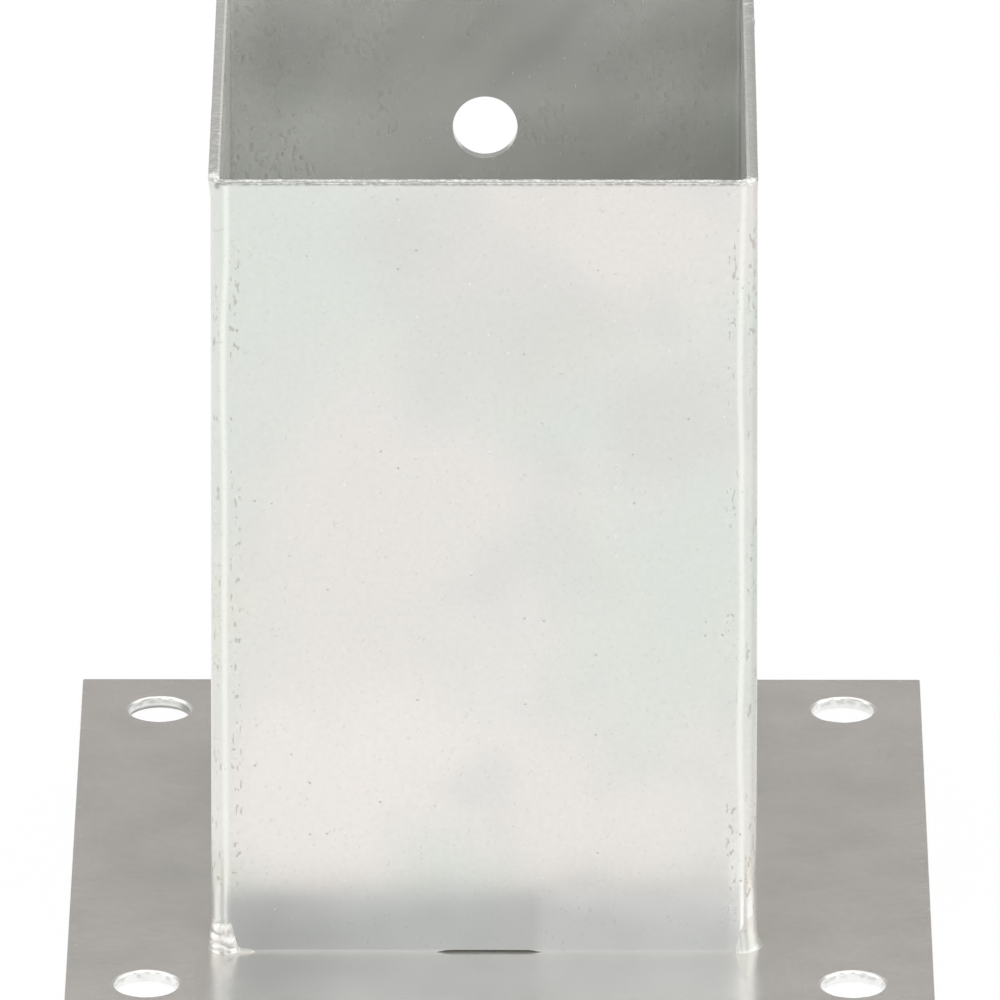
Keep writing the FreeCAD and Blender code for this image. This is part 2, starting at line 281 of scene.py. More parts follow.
def burrHeight(co):
    x = (co.x - sleeveMid.x) / mm
    y = (co.y - sleeveMid.y) / mm
    height = rimBurr["everywhere"] + rimBurr["front"] * smoothStep(-44, -47, y)
    for spotX, spotY, reach, more in rimBurr["spots"]:
        away = ((x - spotX) ** 2 + (y - spotY) ** 2) / reach ** 2
        height += more * math.exp(-away)
    return height * mm


def roughenRim(bm):
    for vert in bm.verts:
        top = smoothStep(rimZ - 0.62 * mm, rimZ - 0.1 * mm, vert.co.z)
        if top == 0:
            continue
        height = burrHeight(vert.co)
        flat = Vector((vert.co.x, vert.co.y, 0))
        coarse = lump(flat, 2.4 * mm, 3.0 * mm)
        fine = lump(flat, 0.6 * mm, 7.0 * mm)
        vert.co.z += top * (height * (0.9 * coarse + 0.8 * fine) - 0.1 * mm)
        outward = Vector((vert.co.x - sleeveMid.x, vert.co.y - sleeveMid.y, 0))
        edge = max(abs(outward.x), abs(outward.y)) - sleeveHalf
        if edge > -0.5 * mm:
            push = height * (0.45 + 0.9 * lump(vert.co, 0.9 * mm, 5.0 * mm))
            vert.co += outward.normalized() * push * top * 0.7


def foldedWalls():
    # the outer skin: a square with round bends, raised in rows from the foot to the rim
    shape = sleeveShape
    bm = bmesh.new()
    place = Matrix.Translation((sleeveMid.x, sleeveMid.y, footZ)) @ Matrix.Rotation(math.pi / 4, 4, "Z")
    bmesh.ops.create_circle(bm, cap_ends=True, segments=4, radius=sleeveHalf * math.sqrt(2), matrix=place)
    bmesh.ops.bevel(bm, geom=bm.verts[:], offset=shape["bendOutside"], offset_type="OFFSET",
                    segments=shape["bendSteps"], profile=0.5, affect="VERTICES", material=-1)
    bmesh.ops.delete(bm, geom=bm.faces[:], context="FACES_ONLY")
    straight = [edge for edge in bm.edges if edge.calc_length() > 4 * shape["bendOutside"]]
    bmesh.ops.subdivide_edges(bm, edges=straight, cuts=shape["columns"])
    edges = raiseRows(bm, bm.edges[:], rowHeights())
    edges = raiseRows(bm, edges, [rimZ - footZ - shape["rimRows"][0] * mm - 0.15 * mm])
    long = [edge for edge in edges if edge.calc_length() > 0.6 * mm]
    bmesh.ops.subdivide_edges(bm, edges=long, cuts=shape["rimCuts"])
    level = max(vert.co.z for vert in bm.verts) - 1e-7
    edges = [edge for edge in bm.edges if min(v.co.z for v in edge.verts) > level]
    raiseRows(bm, edges, [rimZ - footZ - row * mm for row in shape["rimRows"]])
    bmesh.ops.recalc_face_normals(bm, faces=bm.faces[:])
    front = min(bm.faces, key=lambda face: face.calc_center_median().y)
    if front.normal.y > 0:
        bmesh.ops.reverse_faces(bm, faces=bm.faces[:])
    return bm


def cutSeam(bm):
    # the gap between the sheet's two edges, down the right wall
    seamY = sleeveHigh.y - sleeveShape["seamInset"]
    halfGap = sleeveShape["seamGap"] / 2
    for side in (-1, 1):
        rightWall = [face for face in bm.faces if face.normal.x > 0.9]
        bmesh.ops.bisect_plane(bm, geom=withBorders(rightWall), plane_no=(0, 1, 0), dist=1e-7,
                               plane_co=(0, seamY + side * halfGap, 0))
    gapFaces = [face for face in bm.faces
                if face.normal.x > 0.9 and abs(face.calc_center_median().y - seamY) < halfGap]
    bmesh.ops.delete(bm, geom=gapFaces, context="FACES")


def liftSlit(bm):
    # the front wall's lower edge, lifted off the plate over a short stretch
    shape = sleeveShape
    slitMid = sleeveMid.x + shape["slitShift"]
    for vert in bm.verts:
        low = smoothStep(footZ + 1.2 * mm, footZ, vert.co.z)
        if low > 0 and vert.co.y < sleeveMid.y - sleeveHalf + 0.01 * mm:
            across = abs(vert.co.x - slitMid) / (shape["slitLength"] / 2)
            if across < 1:
                vert.co.z += shape["slitRise"] * (1 - across ** shape["slitBlunt"]) * low


def settleWalls(bm):
    # walls a little out of flat, and the side walls drawn in
    for vert in bm.verts:
        calm = smoothStep(0, 12 * mm, vert.co.z - footZ)
        wave = (0.5 + 0.5 * lump(vert.co, sleeveShape["sagSize"])) * sleeveShape["sag"] * calm
        outward = Vector((vert.co.x - sleeveMid.x, vert.co.y - sleeveMid.y, 0))
        side = Vector((1, 0, 0)) if abs(outward.x) > abs(outward.y) else Vector((0, 1, 0))
        vert.co -= side * math.copysign(1, outward.dot(side)) * wave
        vert.co.x -= outward.x / sleeveHalf * leanIn(1 if outward.x > 0 else -1, vert.co.y, vert.co.z)


def roundRim(bm):
    # finer faces across the rim's top, and both its edges rounded
    shape = sleeveShape
    topFaces = [face for face in bm.faces
                if face.normal.z > 0.9 and face.calc_center_median().z > rimZ - 0.1 * mm]
    onTop = set(topFaces)
    topEdges = list(dict.fromkeys(edge for face in topFaces for edge in face.edges))
    longest = 1.2 * mm       # edges along the rim are shorter, edges across it longer
    across = [edge for edge in topEdges if edge.calc_length() > longest]
    rim = [edge for edge in topEdges
           if edge.calc_length() <= longest and sum(face in onTop for face in edge.link_faces) == 1]
    bmesh.ops.subdivide_edges(bm, edges=across, cuts=shape["rimAcross"], use_grid_fill=True)
    bevelEdges(bm, [edge for edge in rim if edge.is_valid], shape["rimRound"], 2)


def makeSleeve():
    shape = sleeveShape
    bm = foldedWalls()
    screw = mounts["post_screw_hole"]
    screwSpot = Vector((screw["pos_m"][0], sleeveHigh.y, screw["pos_m"][2]))
    screwRadius = screw["dims"]["r_mm"] * mm
    punchHole(bm, screwSpot, Vector((1, 0, 0)), Vector((0, 0, 1)), screwRadius,
              shape["screwPatch"], shape["screwCollar"])
    cutSeam(bm)
    liftSlit(bm)
    settleWalls(bm)
    bmesh.ops.solidify(bm, geom=bm.faces[:], thickness=shape["wall"])
    bm.normal_update()
    roundRim(bm)
    roughenRim(bm)
    bm.normal_update()
    return bm


sleeve = finishPiece(makeSleeve(), "sleeve", ["post_sleeve"], 45)


# Corner welds: a closed section drawn along the foot, round the bend and out along both walls

cornerWelds = {
    "front_left_weld": {
        "side": (-1, -1),
        "reach": 1.3, "sideReach": 0.45, "climb": 5.6, "hollow": 1.35, "ends": 2.4,
        "alongFace": 4.6, "faceKeep": 0.16,    # a low tail runs on under the front wall
        "alongSide": 3.0, "sideKeep": 0.8,
        "lump": 0.30, "lumpSize": 1.9, "fine": 0.12, "ripple": 0.34, "pitch": 1.8, "uneven": 0.35,
    },
    "front_right_weld": {
        "side": (1, -1),
        "reach": 0.7, "sideReach": 1.15, "climb": 6.6, "hollow": 2.0, "ends": 2.6,
        "alongFace": 0.5, "faceKeep": 0.8,
        "alongSide": 4.0, "sideKeep": 0.8,
        "lump": 0.08, "lumpSize": 2.6, "fine": 0.02, "ripple": 0.08, "pitch": 3.7, "uneven": 0.12,
    },
    "back_left_weld": {
        "side": (-1, 1),
        "reach": 1.3, "sideReach": 1.2, "climb": 5.4, "hollow": 1.4, "ends": 4,
        "alongFace": 3.2, "faceKeep": 0.7,
        "alongSide": 3.4, "sideKeep": 0.8,
        "lump": 0.3, "lumpSize": 1.9, "fine": 0.10, "ripple": 0.10, "pitch": 1.9, "uneven": 0.3,
    },
    "back_right_weld": {
        "side": (1, 1),
        "reach": 1.3, "sideReach": 1.2, "climb": 5.8, "hollow": 1.5, "ends": 4,
        "alongFace": 3.6, "faceKeep": 0.7,
        "alongSide": 3.0, "sideKeep": 0.8,
        "lump": 0.25, "lumpSize": 2.1, "fine": 0.08, "ripple": 0.10, "pitch": 2.1, "uneven": 0.3,
    },
}
weldSteps = {"along": 70, "section": 40, "sunk": 0.12 * mm}


def weldPath(weld, share):
    # place on the wall's foot, the wall's normal there, and how full the bead is
    sideX, sideY = weld["side"]
    bend = sleeveShape["bendOutside"]
    flat = sleeveHalf - bend
    centre = Vector((sleeveMid.x + sideX * flat, sleeveMid.y + sideY * flat, 0))
    face, side, arc = weld["alongFace"] * mm, weld["alongSide"] * mm, bend * math.pi / 2
    run = share * (face + arc + side)
    if run < face:
        out = Vector((0, sideY, 0))
        spot = centre + out * bend - Vector((sideX, 0, 0)) * (face - run)
        full = weld["faceKeep"] + (1 - weld["faceKeep"]) * smoothStep(0.55, 1.0, run / face)
    elif run < face + arc:
        turn = (run - face) / bend
        out = Vector((math.sin(turn) * sideX, math.cos(turn) * sideY, 0))
        spot = centre + out * bend
        full = 1.0
    else:
        out = Vector((sideX, 0, 0))
        past = (run - face - arc) / side
        spot = centre + out * bend - Vector((0, sideY, 0)) * past * side
        full = weld["sideKeep"] + (1 - weld["sideKeep"]) * smoothStep(0.6, 0.0, past)
    ends = math.sqrt(max(0.0, 1 - (2 * abs(share - 0.5)) ** weld["ends"]))
    return spot, out, full * (0.03 + 0.97 * ends)


def weldLayer(weld, co):
    # 0 in the crease between two layers of weld, 1 on the crown of a layer
    layer = (co.z - footZ) / (weld["pitch"] * mm) + 0.7 * lump(co, 3 * mm, 6 * mm)
    return abs(math.sin(math.pi * layer))


def weldSwell(weld, co):
    swell = weld["ripple"] * weldLayer(weld, co) + weld["fine"] * lump(co, 0.6 * mm, 9 * mm)
    return swell + weld["lump"] * lump(co, weld["lumpSize"] * mm, 4 * mm)


def weldPoint(weld, share, index):
    # the section: its first points are the face from toe to top, the rest runs back inside the metal
    outer = weldSteps["section"] - 4
    spot, out, full = weldPath(weld, share)
    reach = weld["sideReach"] + (weld["reach"] - weld["sideReach"]) * abs(out.y)
    ragged = full * (1 + full * weld["uneven"] * lump(spot, 1.5 * mm, 12 * mm))
    reach, climb = reach * mm * full, weld["climb"] * mm * min(1.0, ragged)
    sunk = weldSteps["sunk"]
    if index < outer:
        t = index / (outer - 1)
        away, up = reach * (1 - t) ** weld["hollow"], climb * t ** weld["hollow"]
        co = spot + out * away + Vector((0, 0, footZ + up))
        body = math.sin(math.pi * min(1, t * 1.05)) * full * min(1, reach / mm)
        slope = (out * climb + Vector((0, 0, reach))).normalized()
        return co + slope * body * weldSwell(weld, co) * mm
    inner = ((-sunk, climb * 0.98), (-sunk, climb * 0.5), (-sunk, -sunk * 0.5), (reach * 0.5, -sunk * 0.5))
    away, up = inner[index - outer]
    return spot + out * away + Vector((0, 0, footZ + up))


def drawSection(bm, points, steps, pointAt):
    # a ring of points carried along a path in steps and closed at both ends
    ring = list(bmesh.ops.create_circle(bm, cap_ends=True, segments=points, radius=mm)["verts"])
    for index, vert in enumerate(ring):
        vert.co = pointAt(0, index)
    edges = bm.edges[:]
    for step in range(1, steps + 1):
        made = bmesh.ops.extrude_edge_only(bm, edges=edges)
        fresh = newVerts(made)
        place = {vert: index for index, vert in enumerate(ring)}
        order = {}
        for vert in fresh:
            order[vert] = next(place[edge.other_vert(vert)] for edge in vert.link_edges
                               if edge.other_vert(vert) in place)
        ring = sorted(fresh, key=order.get)
        edges = newEdges(made, fresh)
        for index, vert in enumerate(ring):
            vert.co = pointAt(step, index)
    bmesh.ops.contextual_create(bm, geom=ring)
    bmesh.ops.recalc_face_normals(bm, faces=bm.faces[:])


def makeCornerWeld(weld):
    bm = bmesh.new()
    steps = weldSteps["along"]
    drawSection(bm, weldSteps["section"], steps,
                lambda step, index: weldPoint(weld, step / steps, index))
    # painted shade in the creases between the layers, here and there
    hollow = bm.verts.layers.float.new("hollow")
    for vert in bm.verts:
        crease = smoothStep(0.45, 0.1, weldLayer(weld, vert.co)) * min(1.0, weld["ripple"] / 0.15)
        vert[hollow] = crease * smoothStep(-0.1, 0.25, lump(vert.co, 2.4 * mm, 15 * mm))
    return bm


weldPieces = []
for node, weld in cornerWelds.items():
    end, side = node.split("_")[:2]
    name = end + side.title() + "Weld"
    weldPieces.append(finishPiece(makeCornerWeld(weld), name, [node], 60))


# Seam weld up the right wall: root in the gap, low rippled crown outside

seamShape = {
    "width": 3.2 * mm,
    "rise": 0.2 * mm,
    "ripple": 1.15 * mm,      # from one ripple to the next
    "rippleDeep": 0.07 * mm,
    "rows": 372,
    "crownPoints": 12,
}


def seamPoint(row, index):
    shape = seamShape
    seamY = sleeveHigh.y - sleeveShape["seamInset"]
    gap = sleeveShape["seamGap"] / 2
    z = footZ + (rimZ - footZ - 0.1 * mm) * row / shape["rows"]
    wallX = sleeveHigh.x - leanIn(1, seamY, z)
    level = Vector((0, 0, z))
    if index < shape["crownPoints"]:
        t = 2 * index / (shape["crownPoints"] - 1) - 1
        width = shape["width"] / 2 * (1 + 0.10 * lump(level, 3.1 * mm))
        wave = z + 0.9 * mm * t * t + 0.4 * mm * lump(level, 5 * mm)
        ripple = shape["rippleDeep"] * (0.5 + 0.5 * math.cos(wave / shape["ripple"] * 2 * math.pi))
        crown = (shape["rise"] - ripple) * (1 - t * t)
        return Vector((wallX - 0.05 * mm + crown, seamY + t * width, z))
    x, y = ((wallX - 0.1 * mm, gap), (wallX - 1.95 * mm, gap),
            (wallX - 1.95 * mm, -gap), (wallX - 0.1 * mm, -gap))[index - shape["crownPoints"]]
    return Vector((x, seamY + y, z))


def makeSeam():
    bm = bmesh.new()
    drawSection(bm, seamShape["crownPoints"] + 4, seamShape["rows"], seamPoint)
    return bm


seam = finishPiece(makeSeam(), "seamBead", ["seam_weld"], 60)


# Small tools for finishes

def addNode(tree, kind, **values):
    node = tree.nodes.new(kind)
    for name, value in values.items():
        setattr(node, name, value)
    return node


def feed(tree, socket, value):
    if isinstance(value, bpy.types.NodeSocket):
        tree.links.new(value, socket)
    elif isinstance(value, tuple) and len(value) == 3 and socket.type == "RGBA":
        socket.default_value = (*value, 1)
    else:
        socket.default_value = value


def maths(tree, operation, *values):
    node = addNode(tree, "ShaderNodeMath", operation=operation)
    for socket, value in zip(node.inputs, values):
        feed(tree, socket, value)
    return node.outputs[0]


def chained(tree, operation, values):
    result = values[0]
    for value in values[1:]:
        result = maths(tree, operation, result, value)
    return result


def times(tree, *values):
    return chained(tree, "MULTIPLY", values)


def highest(tree, *values):
    return chained(tree, "MAXIMUM", values)


def fade(tree, value, low, high, toLow=0.0, toHigh=1.0):
    node = addNode(tree, "ShaderNodeMapRange", interpolation_type="SMOOTHSTEP")
    for index, item in enumerate((value, low, high, toLow, toHigh)):
        feed(tree, node.inputs[index], item)
    return node.outputs[0]


def blendColour(tree, factor, first, second, mode="MIX"):
    node = addNode(tree, "ShaderNodeMix", data_type="RGBA", blend_type=mode)
    feed(tree, node.inputs[0], factor)
    feed(tree, node.inputs[6], first)
    feed(tree, node.inputs[7], second)
    return node.outputs[2]


def coat(tree, colour, tone, *factors):
    # lays a tone over the colour, as strong as the factors' product
    return blendColour(tree, times(tree, *factors), colour, tone)


def noiseOf(tree, vector, size, detail=2.0, colour=False):
    node = addNode(tree, "ShaderNodeTexNoise")
    feed(tree, node.inputs["Vector"], vector)
    node.inputs["Scale"].default_value = 1 / size
    node.inputs["Detail"].default_value = detail
    return node.outputs["Color" if colour else "Fac"]


def placed(tree, vector, location=(0, 0, 0), scale=(1, 1, 1), turn=(0, 0, 0)):
    node = addNode(tree, "ShaderNodeMapping", vector_type="TEXTURE")
    feed(tree, node.inputs["Vector"], vector)
    node.inputs["Location"].default_value = location
    node.inputs["Scale"].default_value = scale
    node.inputs["Rotation"].default_value = turn
    return node.outputs[0]


def ballOf(tree, vector):
    # 1 at the vector's origin and 0 from one unit away
    node = addNode(tree, "ShaderNodeTexGradient", gradient_type="SPHERICAL")
    feed(tree, node.inputs[0], vector)
    return node.outputs["Fac"]


def splitOf(tree, vector):
    node = addNode(tree, "ShaderNodeSeparateXYZ")
    feed(tree, node.inputs[0], vector)
    return node.outputs[0], node.outputs[1], node.outputs[2]


def band(tree, value, centre, half, soft=0.5):
    away = maths(tree, "ABSOLUTE", maths(tree, "SUBTRACT", value, centre))
    return fade(tree, away, half * (1 - soft), half * (1 + soft), 1.0, 0.0)


def specks(tree, vector, cell, size, share):
    # dots scattered over the vector's first two axes: one chance in each cell, only some of them kept,
    # and with each a number of the cell's own
    node = addNode(tree, "ShaderNodeTexVoronoi", voronoi_dimensions="2D")
    feed(tree, node.inputs["Vector"], vector)
    node.inputs["Scale"].default_value = 1 / cell
    red, green, blue = splitOf(tree, node.outputs["Color"])
    edge = maths(tree, "MULTIPLY", fade(tree, green, 0.0, 1.0, 0.5, 1.5), size / cell)
    dot = fade(tree, maths(tree, "DIVIDE", node.outputs["Distance"], edge), 0.6, 1.0, 1.0, 0.0)
    return times(tree, dot, maths(tree, "LESS_THAN", red, share)), blue


def newGroup(name, inputs, outputs):
    tree = bpy.data.node_groups.new(name, "ShaderNodeTree")
    for socketName, kind in inputs:
        tree.interface.new_socket(name=socketName, in_out="INPUT", socket_type=kind)
    for socketName, kind in outputs:
        tree.interface.new_socket(name=socketName, in_out="OUTPUT", socket_type=kind)
    start = addNode(tree, "NodeGroupInput")
    end = addNode(tree, "NodeGroupOutput")
    return tree, start.outputs, end.inputs


def useGroup(tree, group, **values):
    node = addNode(tree, "ShaderNodeGroup", node_tree=group)
    for name, value in values.items():
        feed(tree, node.inputs[name], value)
    return node.outputs


# Passivation on the zinc: soft clouds between pale pink, straw and green
zincTones = {
    "pink": (0.800, 0.777, 0.745),
    "straw": (0.766, 0.766, 0.707),
    "green": (0.724, 0.761, 0.713),
    "grey": (0.700, 0.706, 0.682),
    "pale": (0.850, 0.815, 0.785),
    "dim": (0.710, 0.690, 0.660),
}


def makeBloomGroup():
    tree, start, end = newGroup(
        "zincBloom",
        [("Vector", "NodeSocketVector"), ("Size", "NodeSocketFloat")],
        [("Color", "NodeSocketColor"), ("Level", "NodeSocketFloat")])
    scaled = addNode(tree, "ShaderNodeVectorMath", operation="DIVIDE")
    feed(tree, scaled.inputs[0], start["Vector"])
    feed(tree, scaled.inputs[1], start["Size"])
    vector = scaled.outputs[0]
    large = noiseOf(tree, vector, 1.0, 1.0)
    second = noiseOf(tree, placed(tree, vector, (3.1, 1.7, 5.3)), 0.8, 1.0)
    third = noiseOf(tree, placed(tree, vector, (7.7, 2.9, 0.4)), 0.33, 1.0)
    colour = blendColour(tree, fade(tree, large, 0.38, 0.62), zincTones["green"], zincTones["pink"])
    colour = blendColour(tree, fade(tree, second, 0.45, 0.75), colour, zincTones["straw"])
    colour = blendColour(tree, fade(tree, third, 0.5, 0.85, 0.0, 0.7), colour, zincTones["grey"])
    feed(tree, end["Color"], colour)
    feed(tree, end["Level"], third)
    return tree


# Marks of handling: small light nicks, dark pits and short faint scratches
def makeHandlingGroup():
    tree, start, end = newGroup(
        "handlingMarks",
        [("Vector", "NodeSocketVector"), ("Share", "NodeSocketFloat")],
        [("Light", "NodeSocketFloat"), ("Dark", "NodeSocketFloat"), ("Scratch", "NodeSocketFloat")])
    vector = start["Vector"]
    dot, number = specks(tree, vector, 3.1 * mm, 0.17 * mm, start["Share"])
    light = maths(tree, "LESS_THAN", number, 0.5)
    drawn = placed(tree, vector, (0.013, 0, 0), (14.0, 1.0, 1.0), (0.0, 0.55, 0.9))
    feed(tree, end["Light"], times(tree, dot, light))
    feed(tree, end["Dark"], times(tree, dot, maths(tree, "SUBTRACT", 1.0, light)))
    feed(tree, end["Scratch"], fade(tree, noiseOf(tree, drawn, 0.45 * mm, 0.0), 0.75, 0.79))
    return tree


zincBloom = makeBloomGroup()
handlingMarks = makeHandlingGroup()


def emptyTree(owner):
    owner.use_nodes = True
    owner.node_tree.nodes.clear()
    return owner.node_tree


def newMaterial(name):
    material = bpy.data.materials.new(name)
    tree = emptyTree(material)
    output = addNode(tree, "ShaderNodeOutputMaterial")
    shader = addNode(tree, "ShaderNodeBsdfPrincipled")
    tree.links.new(shader.outputs["BSDF"], output.inputs["Surface"])
    where = addNode(tree, "ShaderNodeTexCoord").outputs["Object"]
    return material, tree, shader, where


def addBump(tree, shader, height, distance, strength=1.0):
    bump = addNode(tree, "ShaderNodeBump")
    bump.inputs["Distance"].default_value = distance
    bump.inputs["Strength"].default_value = strength
    feed(tree, bump.inputs["Height"], height)
    feed(tree, shader.inputs["Normal"], bump.outputs[0])


# fine grain of the rolled sheet, also felt in its gloss
grainDeep = 0.006 * mm
grainStrength = 0.7
roughDrift = 0.03


def cloudyRoughness(tree, bloom, middle):
    return fade(tree, bloom["Level"], 0.2, 0.8, middle - roughDrift, middle + roughDrift)


def grainOver(tree, colour, grain):
    tone = addNode(tree, "ShaderNodeCombineColor")
    for socket in tone.inputs:
        feed(tree, socket, fade(tree, grain, 0.2, 0.8, 0.975, 1.02))
    return blendColour(tree, 1.0, colour, tone.outputs[0], "MULTIPLY")


# Sleeve finish. Patches on the front wall: across and up in mm, half width, half height, tone, strength
sleeveFinish = {
    "metallic": 0.72,
    "roughness": 0.235,
    "cloudSize": 42 * mm,
    "grainSize": 1.1 * mm,
    "patches": [
        (-38, 127, 20, 34, "green", 1.0),
        (6, 128, 34, 22, "dim", 0.45),
        (-44, 92, 12, 26, "green", 0.7),
        (-12, 137, 17, 13, "grey", 0.55),
        (24, 136, 19, 17, "pink", 1.0),
        (0, 127, 15, 13, "pink", 0.4),
        (2, 116, 28, 26, "grey", 0.6),
        (34, 102, 22, 22, "grey", 0.85),
        (10, 82, 14, 20, "grey", 0.5),
        (34, 74, 20, 30, "green", 1.0),
        (27, 52, 20, 18, "green", 0.6),
        (-20, 70, 32, 56, "pink", 0.85),
        (-25, 34, 34, 30, "pale", 1.0),
        (0, 42, 20, 18, "pale", 0.6),
        (-3, 33, 11, 8, "grey", 0.45),
        (26, 28, 26, 16, "pale", 0.5),
    ],
    "patchDepth": 40,        # mm into the walls beside the front one
    "patchStray": 22,        # mm that their outlines wander
    "bendLine": 0.45,        # half width in mm of the painted highlight line beside each bend
    "bendStray": 0.35,
    "bendHighlight": (0.92, 0.93, 0.88),
    "insideTone": (0.90, 0.91, 0.88),
    # painted shade and painted light inside the sleeve, and a darker mottle there
    "insideShade": (0.20, 0.20, 0.19),
    "insideLight": (0.98, 0.99, 0.96),
    "insideDull": 0.32,      # taken off the metallic share
    "mouthShade": 0.34,
    "rightShade": 0.21,
    "driftMottle": 0.12,
    # painted reflection, shade and highlight near the foot
    "footReflection": (0.875, 0.898, 0.903),
    "footShade": (0.25, 0.25, 0.25),
    "footHighlight": (0.97, 0.98, 0.96),
    "jointZinc": (0.95, 0.95, 0.92),
    "markShare": 0.13,
    "pitAndCreaseShade": (0.36, 0.36, 0.33),
    "nick": (0.95, 0.95, 0.93),
    "scratch": (0.45, 0.45, 0.42),
    "scuffTone": (0.45, 0.44, 0.38),
    "scuffStrips": [(1.5, 0.5), (-1.6, 0.9)],     # mm from a bend's start and half width
    # painted highlight and painted shade on the rim
    "rimHighlightTone": (0.93, 0.93, 0.90),
    "burrShade": (0.34, 0.34, 0.32),
    "burrDull": 0.5,
}

# the sleeve in millimetres from its axis and from the floor
outerFace = sleeveHalf / mm
bendStart = outerFace - sleeveShape["bendOutside"] / mm
rimTop = rimZ / mm


def sleevePlaces(tree, where):
    # where a point lies on the sleeve, in those millimetres
    centred = placed(tree, where, (sleeveMid.x, sleeveMid.y, 0), (mm, mm, mm))
    x, y, z = splitOf(tree, centred)
    absX = maths(tree, "ABSOLUTE", x)
    absY = maths(tree, "ABSOLUTE", y)
    near = outerFace - 1.8
    inside = times(tree, maths(tree, "LESS_THAN", absX, near), maths(tree, "LESS_THAN", absY, near))
    return {"where": where, "centred": centred, "x": x, "y": y, "z": z,
            "absX": absX, "absY": absY, "inside": inside}


def patchesOver(tree, colour, at):
    look = sleeveFinish
    stray = addNode(tree, "ShaderNodeVectorMath", operation="MULTIPLY_ADD")
    feed(tree, stray.inputs[0], noiseOf(tree, at["where"], 16 * mm, 0.0, True))
    stray.inputs[1].default_value = (look["patchStray"],) * 3
    stray.inputs[2].default_value = (-look["patchStray"] / 2,) * 3
    warped = addNode(tree, "ShaderNodeVectorMath", operation="ADD")
    feed(tree, warped.inputs[0], at["centred"])
    feed(tree, warped.inputs[1], stray.outputs[0])
    for across, up, halfWide, halfHigh, tone, strength in look["patches"]:
        ball = ballOf(tree, placed(tree, warped.outputs[0], (across, -outerFace, up),
                                   (halfWide, look["patchDepth"], halfHigh)))
        colour = coat(tree, colour, zincTones[tone], fade(tree, ball, 0.0, 0.75, 0.0, strength))
    return colour


def bendLinesOver(tree, colour, at):
    look = sleeveFinish
    # painted highlight: a paler line where each bend starts
    waver = fade(tree, noiseOf(tree, at["where"], 30 * mm, 0.0), 0.3, 0.7,
                 bendStart - look["bendStray"], bendStart + look["bendStray"])
    lines = [band(tree, value, waver, look["bendLine"], 0.8) for value in (at["absX"], at["absY"])]
    return coat(tree, colour, look["bendHighlight"], highest(tree, *lines), 0.8)


def insideOver(tree, colour, at):
    # duller than the mirror outside, with painted shade towards the mouth, towards the right and in the
    # back corners, a darker diagonal mottle, and painted light low on the left
    look = sleeveFinish
    x, y, z = at["x"], at["y"], at["z"]
    # painted shade: darker towards the mouth and towards the right
    mouth = fade(tree, z, 117, 136, 0.0, look["mouthShade"])
    right = times(tree, fade(tree, x, -35, 34, 0.0, look["rightShade"]), fade(tree, z, 145, 112))
    drawn = placed(tree, at["where"], (0.011, 0, 0), (1, 1, 2.4), (0, 0.7, 0))
    # a darker diagonal mottle
    drift = fade(tree, noiseOf(tree, drawn, 11 * mm, 1.0), 0.35, 0.68, 0.0, look["driftMottle"])
    paintedShade = maths(tree, "ADD", highest(tree, mouth, right), drift)
    paintedShade = times(tree, paintedShade, fade(tree, x, -46, -36, 0.25, 1.0), fade(tree, x, 10, 34, 1.0, 0.85))
    within = coat(tree, colour, look["insideTone"], 0.5)
    within = coat(tree, within, look["insideShade"], paintedShade)
    # painted light: paler low on the left
    litLowLeft = times(tree, fade(tree, z, 130, 114), fade(tree, x, -10, -34), 0.5)
    within = coat(tree, within, look["insideLight"], litLowLeft)
    # painted shade along the inside back corners
    corners = times(tree, band(tree, at["absX"], outerFace - 2.35, 0.5, 0.6),
                    fade(tree, y, outerFace - 4.0, outerFace - 3.0), 0.38)
    within = coat(tree, within, look["insideShade"], corners)
    return coat(tree, colour, within, at["inside"])


def footOver(tree, colour, at):
    # outside: painted shade towards the foot, a painted reflection of the plate as a cooler band at the
    # foot that is darker in its left half, painted shade on the right bend's outer edge and a painted
    # highlight on that bend above the foot
    look = sleeveFinish
    x, y, z = at["x"], at["y"], at["z"]
    outside = maths(tree, "SUBTRACT", 1.0, at["inside"])
    low = times(tree, fade(tree, z, 15.5, 10.5), outside)
    left = maths(tree, "ADD", fade(tree, x, 11, 8, 0.0, 0.17), fade(tree, x, -18, -38, 0.0, 0.13))
    # painted shade: darker towards the foot
    colour = coat(tree, colour, look["footShade"], outside, fade(tree, z, 23, 12, 0.0, 0.06))
    # painted reflection of the plate: a cooler band at the foot, darker in its left half
    colour = coat(tree, colour, look["footReflection"], low, 0.7)
    colour = coat(tree, colour, look["footShade"], low, left)
    # painted shade on the right bend's outer edge
    edgeShade = fade(tree, x, outerFace - 1.6, outerFace - 0.7)
    colour = coat(tree, colour, look["footShade"], edgeShade, fade(tree, z, 9, 16, 0.08, 0.22))
    # painted highlight on the right bend above the foot
    footHighlightBand = times(tree, band(tree, x, bendStart - 0.6, 1.2, 0.5), fade(tree, z, 27, 15))
    return coat(tree, colour, look["footHighlight"], footHighlightBand, fade(tree, y, 0, -44), 0.4)


def marksOver(tree, colour, at):
    look = sleeveFinish
    unrolled = addNode(tree, "ShaderNodeCombineXYZ")      # along the walls and up, in metres
    feed(tree, unrolled.inputs[0], times(tree, maths(tree, "ADD", at["x"], at["y"]), mm))
    feed(tree, unrolled.inputs[1], times(tree, at["z"], mm))
    marks = useGroup(tree, handlingMarks, Vector=unrolled.outputs[0], Share=look["markShare"])
    colour = coat(tree, colour, look["pitAndCreaseShade"], marks["Dark"], 0.65)
    colour = coat(tree, colour, look["nick"], marks["Light"], fade(tree, at["inside"], 0.0, 1.0, 0.6, 0.3))
    colour = coat(tree, colour, look["scratch"], marks["Scratch"], 0.25)
    return colour, marks["Dark"]


